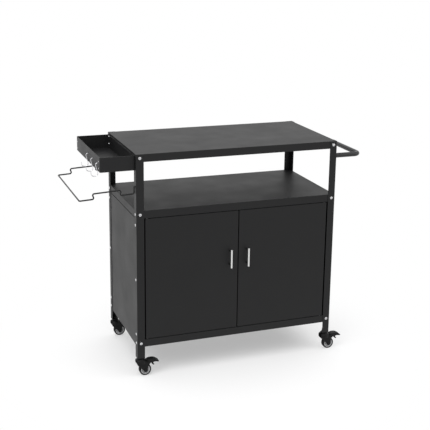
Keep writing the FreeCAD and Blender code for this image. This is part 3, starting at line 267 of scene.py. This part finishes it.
def loose_parts(node):
    """Lowest and highest corner of every separate solid in a node."""
    shape = bmesh.new()
    shape.from_mesh(nodes[node].data)
    bmesh.ops.remove_doubles(shape, verts=shape.verts, dist=MERGE_DISTANCE)
    shape.verts.ensure_lookup_table()
    waiting = set(shape.verts)
    found = []
    while waiting:
        front = [waiting.pop()]
        group = list(front)
        while front:
            for edge in front.pop().link_edges:
                for vertex in edge.verts:
                    if vertex in waiting:
                        waiting.remove(vertex)
                        front.append(vertex)
                        group.append(vertex)
        low = Vector([min(vertex.co[axis] for vertex in group) for axis in range(3)])
        high = Vector([max(vertex.co[axis] for vertex in group) for axis in range(3)])
        found.append((low, high))
    shape.free()
    return sorted(found, key=lambda pair: tuple(pair[0]))


def circle_spot(radius, share, along=0.0):
    """Point on a circle about +Z, a share of the way round."""
    angle = 2 * math.pi * share
    return Vector((radius * math.cos(angle), radius * math.sin(angle), along))


def turned_ring(shape, place, axis, profile, segments=32):
    """Closed ring turned about an axis, from (radius, distance along the axis) pairs."""
    turn = UP.rotation_difference(axis)
    rows = []
    for step in range(segments):
        spots = [circle_spot(radius, step / segments, along) for radius, along in profile]
        rows.append([shape.verts.new(place + turn @ spot) for spot in spots])
    count = len(profile)
    for step in range(segments):
        here = rows[step]
        following = rows[(step + 1) % segments]
        for index in range(count):
            other = (index + 1) % count
            shape.faces.new((here[index], following[index], following[other], here[other]))


def block(shape, place, turn, size, taper):
    """Block on its base at a place; its top is narrower by the taper."""
    length, width, height = size
    corners = []
    for level, share in ((0.0, 1.0), (height, taper)):
        for side_x, side_y in BLOCK_CORNERS:
            spot = Vector((side_x * length / 2 * share, side_y * width / 2 * share, level))
            corners.append(shape.verts.new(place + turn @ spot))
    for face in BLOCK_FACES:
        shape.faces.new([corners[index] for index in face])


def cross_plate(shape, place, turn, length, width, height):
    """Flat cross on its base at a place, as one closed outline."""
    outline = []
    for quarter in range(4):
        quarter_turn = Matrix.Rotation(quarter * math.pi / 2, 3, "Z")
        for x, y in ((length, -width), (length, width), (width, width)):
            outline.append(quarter_turn @ Vector((x / 2, y / 2, 0.0)))
    lift = Vector((0, 0, height))
    base = [shape.verts.new(place + turn @ spot) for spot in outline]
    top = [shape.verts.new(place + turn @ (spot + lift)) for spot in outline]
    shape.faces.new(base[::-1])
    shape.faces.new(top)
    for index, corner in enumerate(base):
        other = (index + 1) % len(base)
        shape.faces.new((corner, base[other], top[other], top[index]))


def columns(first, second, third):
    return Matrix((first, second, third)).transposed()


# Every frame bolt gets a flat washer, and a thin black cross on its head: painted shade where the
# drive recess would be

HEAD_HEIGHT = 0.0024
WASHER_BORE_SHARE = 0.8
WASHER_RADIUS = 0.0056
WASHER_THICKNESS = 0.0007
WASHER_CHAMFER = 0.3 * WASHER_THICKNESS
RECESS_LENGTH = 0.0042
RECESS_WIDTH = 0.0010
RECESS_PROUD = 0.00004


def bolt_end(low, high, middle):
    """Top of a bolt's head, and the direction that it faces: away from the cart's middle."""
    centre = (low + high) / 2
    size = high - low
    axis = max(range(3), key=lambda index: size[index])
    faces_plus = centre[axis] > middle[axis]
    outward = Vector((0, 0, 0))
    outward[axis] = 1.0 if faces_plus else -1.0
    top = Vector(centre)
    top[axis] = high[axis] if faces_plus else low[axis]
    return top, outward


def add_bolt_trim():
    post_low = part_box("post_front_left")[0]
    far_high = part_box("post_back_right")[1]
    middle = Vector([(low + high) / 2 for low, high in zip(post_low, far_high)])
    washers = bmesh.new()
    recess_shade = bmesh.new()
    for low, high in loose_parts("frame_bolts"):
        top, outward = bolt_end(low, high, middle)
        head_radius = min(high - low) / 2
        bore = WASHER_BORE_SHARE * head_radius
        turned_ring(washers, top - outward * HEAD_HEIGHT, outward, [
            (bore, 0.0),
            (WASHER_RADIUS, 0.0),
            (WASHER_RADIUS, WASHER_THICKNESS - WASHER_CHAMFER),
            (WASHER_RADIUS - WASHER_CHAMFER, WASHER_THICKNESS),
            (bore, WASHER_THICKNESS),
        ])
        turn = UP.rotation_difference(outward).to_matrix()
        # The cross is a black plate proud of the head, painted shade in place of the recess's
        # hollow
        base = top - outward * RECESS_PROUD
        cross_plate(recess_shade, base, turn, RECESS_LENGTH, RECESS_WIDTH, 2 * RECESS_PROUD)
    new_piece("bolt_washers", washers, "frame", "bright_steel")
    new_piece("painted_recess_shade", recess_shade, "frame", "black_plastic")


add_bolt_trim()


# Casters: ribs in the wheels, nuts on the axles and grip ridges on the pedals

WEB_HALF = 0.004
RIB_COUNT = 6
RIB_INNER = 0.0065
RIB_OUTER = 0.0155
RIB_WIDTH = 0.0018
RIB_HEIGHT = 0.0036
RIB_TAPER = 0.92
FORK_OUTSIDE = 0.0145
NUT_SIDES = 6
NUT_BORE = 0.0005
NUT_CORNER = 0.0046
NUT_HEIGHT = 0.0030
NUT_EDGE_HEIGHT = 0.8 * NUT_HEIGHT
NUT_TOP_CORNER = 0.85 * NUT_CORNER
RIDGE_SHARES = (0.50, 0.59, 0.68, 0.77, 0.86)
RIDGE_SIZE = (0.0013, 0.016, 0.0009)
RIDGE_TAPER = 0.8
RIDGE_SUNK = 0.0003
PEDAL_CLEARANCE = 0.01
ACROSS = Vector((0.0, 1.0, 0.0))


def add_wheel_trim(corner, centre):
    """Ribs on each side of the wheel's web, and a nut on each side of the fork."""
    ribs = bmesh.new()
    nuts = bmesh.new()
    for side in SIDES:
        outward = side * ACROSS
        for number in range(RIB_COUNT):
            angle = 2 * math.pi * (number + 0.5) / RIB_COUNT
            radial = Vector((math.cos(angle), 0.0, math.sin(angle)))
            place = centre + outward * WEB_HALF + radial * (RIB_INNER + RIB_OUTER) / 2
            turn = columns(radial, outward.cross(radial), outward)
            block(ribs, place, turn, (RIB_OUTER - RIB_INNER, RIB_WIDTH, RIB_HEIGHT), RIB_TAPER)
        turned_ring(nuts, centre + outward * FORK_OUTSIDE, outward, [
            (NUT_BORE, 0.0),
            (NUT_CORNER, 0.0),
            (NUT_CORNER, NUT_EDGE_HEIGHT),
            (NUT_TOP_CORNER, NUT_HEIGHT),
            (NUT_BORE, NUT_HEIGHT),
        ], segments=NUT_SIDES)
    new_piece("wheel_ribs_" + corner, ribs, "caster_wheel_" + corner, "hub_plastic")
    new_piece("axle_nuts_" + corner, nuts, "caster_swivel_" + corner, "caster_steel")


def add_pedal_trim(corner, centre):
    """Ridges across the pedal, each on the spot that a ray from above meets."""
    ridges = bmesh.new()
    low, high = [Vector(point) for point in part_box("brake_pedal_" + corner)]
    pedal = nodes["brake_pedal_" + corner]
    spots = [pedal.matrix_world @ vertex.co for vertex in pedal.data.vertices]
    skin = BVHTree.FromPolygons(spots, [tuple(face.vertices) for face in pedal.data.polygons])
    for share in RIDGE_SHARES:
        start = low.lerp(high, share)
        start.y = centre.y
        start.z = high.z + PEDAL_CLEARANCE
        place, above = skin.ray_cast(start, -UP)[:2]
        turn = columns(ACROSS.cross(above), ACROSS, above)
        block(ridges, place - above * RIDGE_SUNK, turn, RIDGE_SIZE, RIDGE_TAPER)
    new_piece("pedal_ridges_" + corner, ridges, "caster_pedal_" + corner, "black_plastic")


for corner in CORNERS:
    low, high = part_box("caster_tyre_" + corner)
    wheel_centre = (Vector(low) + Vector(high)) / 2
    add_wheel_trim(corner, wheel_centre)
    add_pedal_trim(corner, wheel_centre)


# Weld beads where each post's foot plate meets its legs

POST_WALL = 0.0015
BEAD_FIRST = 0.0035
BEAD_LAST = 0.0275
BEAD_RADIUS = 0.0013
BEAD_RIPPLE = 0.0016
RIPPLE_DEPTH = 0.14
BEAD_END_SHARE = 0.35
BEAD_FADE = 8
BEAD_RINGS = 64
BEAD_SIDES = 10


def bead_radius(share, length):
    """Radius at a share of the bead's length: rippled, and thinner at both ends."""
    ripple = 1 - RIPPLE_DEPTH + RIPPLE_DEPTH * abs(math.sin(math.pi * share * length / BEAD_RIPPLE))
    fade = BEAD_END_SHARE + (1 - BEAD_END_SHARE) * min(1.0, BEAD_FADE * min(share, 1 - share))
    return BEAD_RADIUS * ripple * fade


def weld_bead(shape, start, end):
    """Rippled round bead from start to end."""
    length = (end - start).length
    turn = UP.rotation_difference((end - start).normalized())
    rows = []
    for ring in range(BEAD_RINGS):
        share = ring / (BEAD_RINGS - 1)
        radius = bead_radius(share, length)
        centre = start.lerp(end, share)
        spots = [circle_spot(radius, side / BEAD_SIDES) for side in range(BEAD_SIDES)]
        rows.append([shape.verts.new(centre + turn @ spot) for spot in spots])
    for here, following in zip(rows, rows[1:]):
        for side in range(BEAD_SIDES):
            other = (side + 1) % BEAD_SIDES
            shape.faces.new((here[side], here[other], following[other], following[side]))
    shape.faces.new(rows[0][::-1])
    shape.faces.new(rows[-1])


def add_foot_welds():
    beads = bmesh.new()
    for corner in CORNERS:
        low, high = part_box("post_" + corner)
        inward_x, edge_x = (1.0, low[0]) if "left" in corner else (-1.0, high[0])
        inward_y, edge_y = (1.0, low[1]) if "front" in corner else (-1.0, high[1])
        origin = Vector((edge_x, edge_y, low[2] + POST_WALL))
        step_x = Vector((inward_x, 0.0, 0.0))
        step_y = Vector((0.0, inward_y, 0.0))
        for along, wall_side in ((step_x, step_y), (step_y, step_x)):
            line = origin + wall_side * POST_WALL
            weld_bead(beads, line + along * BEAD_FIRST, line + along * BEAD_LAST)
    new_piece("foot_welds", beads, "frame", "black_steel")


add_foot_welds()


# Two magnets in the door catch, just behind the doors

CATCH_GAP = 0.0005
MAGNET_SIZE = (0.0170, 0.0085, 0.00015)
MAGNET_TAPER = 0.98
MAGNET_OFFSET = 0.0120


def add_catch_magnets():
    catch_low, catch_high = [Vector(point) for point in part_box("door_catch")]
    door_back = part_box("door_left")[1][1]
    magnets = bmesh.new()
    facing_doors = UP.rotation_difference(-ACROSS).to_matrix()
    for side in SIDES:
        place = (catch_low + catch_high) / 2
        place.x += side * MAGNET_OFFSET
        place.y = door_back + CATCH_GAP
        block(magnets, place, facing_doors, MAGNET_SIZE, MAGNET_TAPER)
    new_piece("catch_magnets", magnets, "frame", "handle_steel")


add_catch_magnets()


# White floor: a soft shadow near the cart, plain white farther out

FLOOR_HALF = 7.0
FLOOR_BELOW = 0.0006
FLOOR_ROUGHNESS = 0.6
FLOOR_GLOSS = 0.2
FLOOR_CLOUD = 0.7
FLOOR_TONES = ((0.88, 0.88, 0.885), (0.90, 0.90, 0.90))
# Distances from the cart's middle, and the share of plain white at each of them
SHADOW_REACH = (0.30, 0.92)
PLAIN_SHARE = (0.40, 1.0)
# Distances from the cart's middle, and the light that the floor throws back there
BOUNCE_REACH = (0.6, 2.6)
BOUNCE_LIGHT = (0.56, 0.25)


def floor_material():
    """Lit white that turns plain white with distance, and is clear from below."""
    material, tree, shader = new_material("floor_white")
    shader.inputs["Roughness"].default_value = FLOOR_ROUGHNESS
    shader.inputs["Specular IOR Level"].default_value = FLOOR_GLOSS
    cloud = noise(tree, FLOOR_CLOUD, detail=2.0)
    tree.links.new(two_tones(tree, cloud, *FLOOR_TONES), shader.inputs["Base Color"])
    place = add_node(tree, "ShaderNodeTexCoord")
    length = add_node(tree, "ShaderNodeVectorMath", operation="LENGTH")
    tree.links.new(place.outputs["Object"], length.inputs[0])
    distance = length.outputs["Value"]

    plain = add_node(tree, "ShaderNodeEmission")
    plain.inputs["Color"].default_value = WHITE
    plain.inputs["Strength"].default_value = 1.0
    bounce = add_node(tree, "ShaderNodeEmission")
    bounce.inputs["Color"].default_value = WHITE
    strength = remap(tree, distance, BOUNCE_REACH, BOUNCE_LIGHT, "SMOOTHSTEP")
    tree.links.new(strength, bounce.inputs["Strength"])
    glow = mixed(tree, seeing_rays(tree), bounce.outputs["Emission"], plain.outputs["Emission"])

    plain_share = remap(tree, distance, SHADOW_REACH, PLAIN_SHARE, "SMOOTHSTEP")
    top_side = mixed(tree, plain_share, shader.outputs["BSDF"], glow)
    face = add_node(tree, "ShaderNodeNewGeometry")
    clear = add_node(tree, "ShaderNodeBsdfTransparent")
    both_sides = mixed(tree, face.outputs["Backfacing"], top_side, clear.outputs["BSDF"])
    tree.links.new(both_sides, tree.nodes["Material Output"].inputs["Surface"])
    return material


bpy.ops.mesh.primitive_plane_add(size=2 * FLOOR_HALF, location=(0, 0, -FLOOR_BELOW))
floor = bpy.context.object
floor.name = "floor"
floor.data.materials.append(floor_material())


# White background, and a studio lit from all around and more from above

# Sine of the height where each part of the light sets in and where it is full, and its strength
SKY_LIGHT = (
    ((-1.0, -0.99), 0.25),
    ((0.30, 1.00), 1.50),
)


def light_studio():
    world = bpy.data.worlds.new("studio")
    scene.world = world
    world.use_nodes = True
    tree = world.node_tree
    tree.nodes.clear()
    place = add_node(tree, "ShaderNodeTexCoord")
    height = add_node(tree, "ShaderNodeVectorMath", operation="DOT_PRODUCT")
    height.inputs[1].default_value = UP
    tree.links.new(place.outputs["Generated"], height.inputs[0])
    sine = height.outputs["Value"]
    parts = [
        remap(tree, sine, reach, (0.0, strength), "SMOOTHSTEP") for reach, strength in SKY_LIGHT
    ]
    lighting = add_node(tree, "ShaderNodeBackground")
    lighting.inputs["Color"].default_value = WHITE
    tree.links.new(total(tree, parts), lighting.inputs["Strength"])
    seen = add_node(tree, "ShaderNodeBackground")
    seen.inputs["Color"].default_value = WHITE
    seen.inputs["Strength"].default_value = 1.0
    surroundings = mixed(
        tree, seeing_rays(tree), lighting.outputs["Background"], seen.outputs["Background"]
    )
    output = add_node(tree, "ShaderNodeOutputWorld")
    tree.links.new(surroundings, output.inputs["Surface"])


def area_light(name, place, target, size, power):
    data = bpy.data.lights.new(name, "AREA")
    data.shape = "SQUARE"
    data.size = size
    data.energy = power
    lamp = bpy.data.objects.new(name, data)
    scene.collection.objects.link(lamp)
    lamp.location = place
    direction = Vector(target) - Vector(place)
    lamp.rotation_euler = direction.to_track_quat("-Z", "Y").to_euler()


light_studio()
area_light("key_light", place=(-2.2, -1.6, 3.4), target=(0.0, 0.0, 0.4), size=2.6, power=60.0)
area_light("fill_light", place=(2.8, -2.0, 2.4), target=(0.0, 0.0, 0.6), size=2.2, power=18.0)


# Camera matched to the photograph

FOCAL_PIXELS = 944.98
PHOTO_PIXELS = 430.0
CENTRE_ROW = 180.0
SENSOR_WIDTH = 36.0
YAW = math.radians(20.143)
PITCH = math.radians(14.609)
ROLL = math.radians(0.7166)
CAMERA_PLACE = Vector((-1.2609, -3.49885, 1.6891))


def add_camera():
    forward = Vector((
        math.sin(YAW) * math.cos(PITCH), math.cos(YAW) * math.cos(PITCH), -math.sin(PITCH)
    ))
    level_right = Vector((math.cos(YAW), -math.sin(YAW), 0.0))
    level_up = level_right.cross(forward)
    right = level_right * math.cos(ROLL) + level_up * math.sin(ROLL)
    up = level_up * math.cos(ROLL) - level_right * math.sin(ROLL)

    data = bpy.data.cameras.new("camera")
    data.sensor_width = SENSOR_WIDTH
    data.lens = FOCAL_PIXELS / PHOTO_PIXELS * SENSOR_WIDTH
    data.shift_y = (CENTRE_ROW - PHOTO_PIXELS / 2) / PHOTO_PIXELS
    camera = bpy.data.objects.new("camera", data)
    scene.collection.objects.link(camera)
    camera.matrix_world = Matrix.Translation(CAMERA_PLACE) @ columns(right, up, -forward).to_4x4()
    scene.camera = camera


add_camera()
scene.view_settings.view_transform = "Standard"
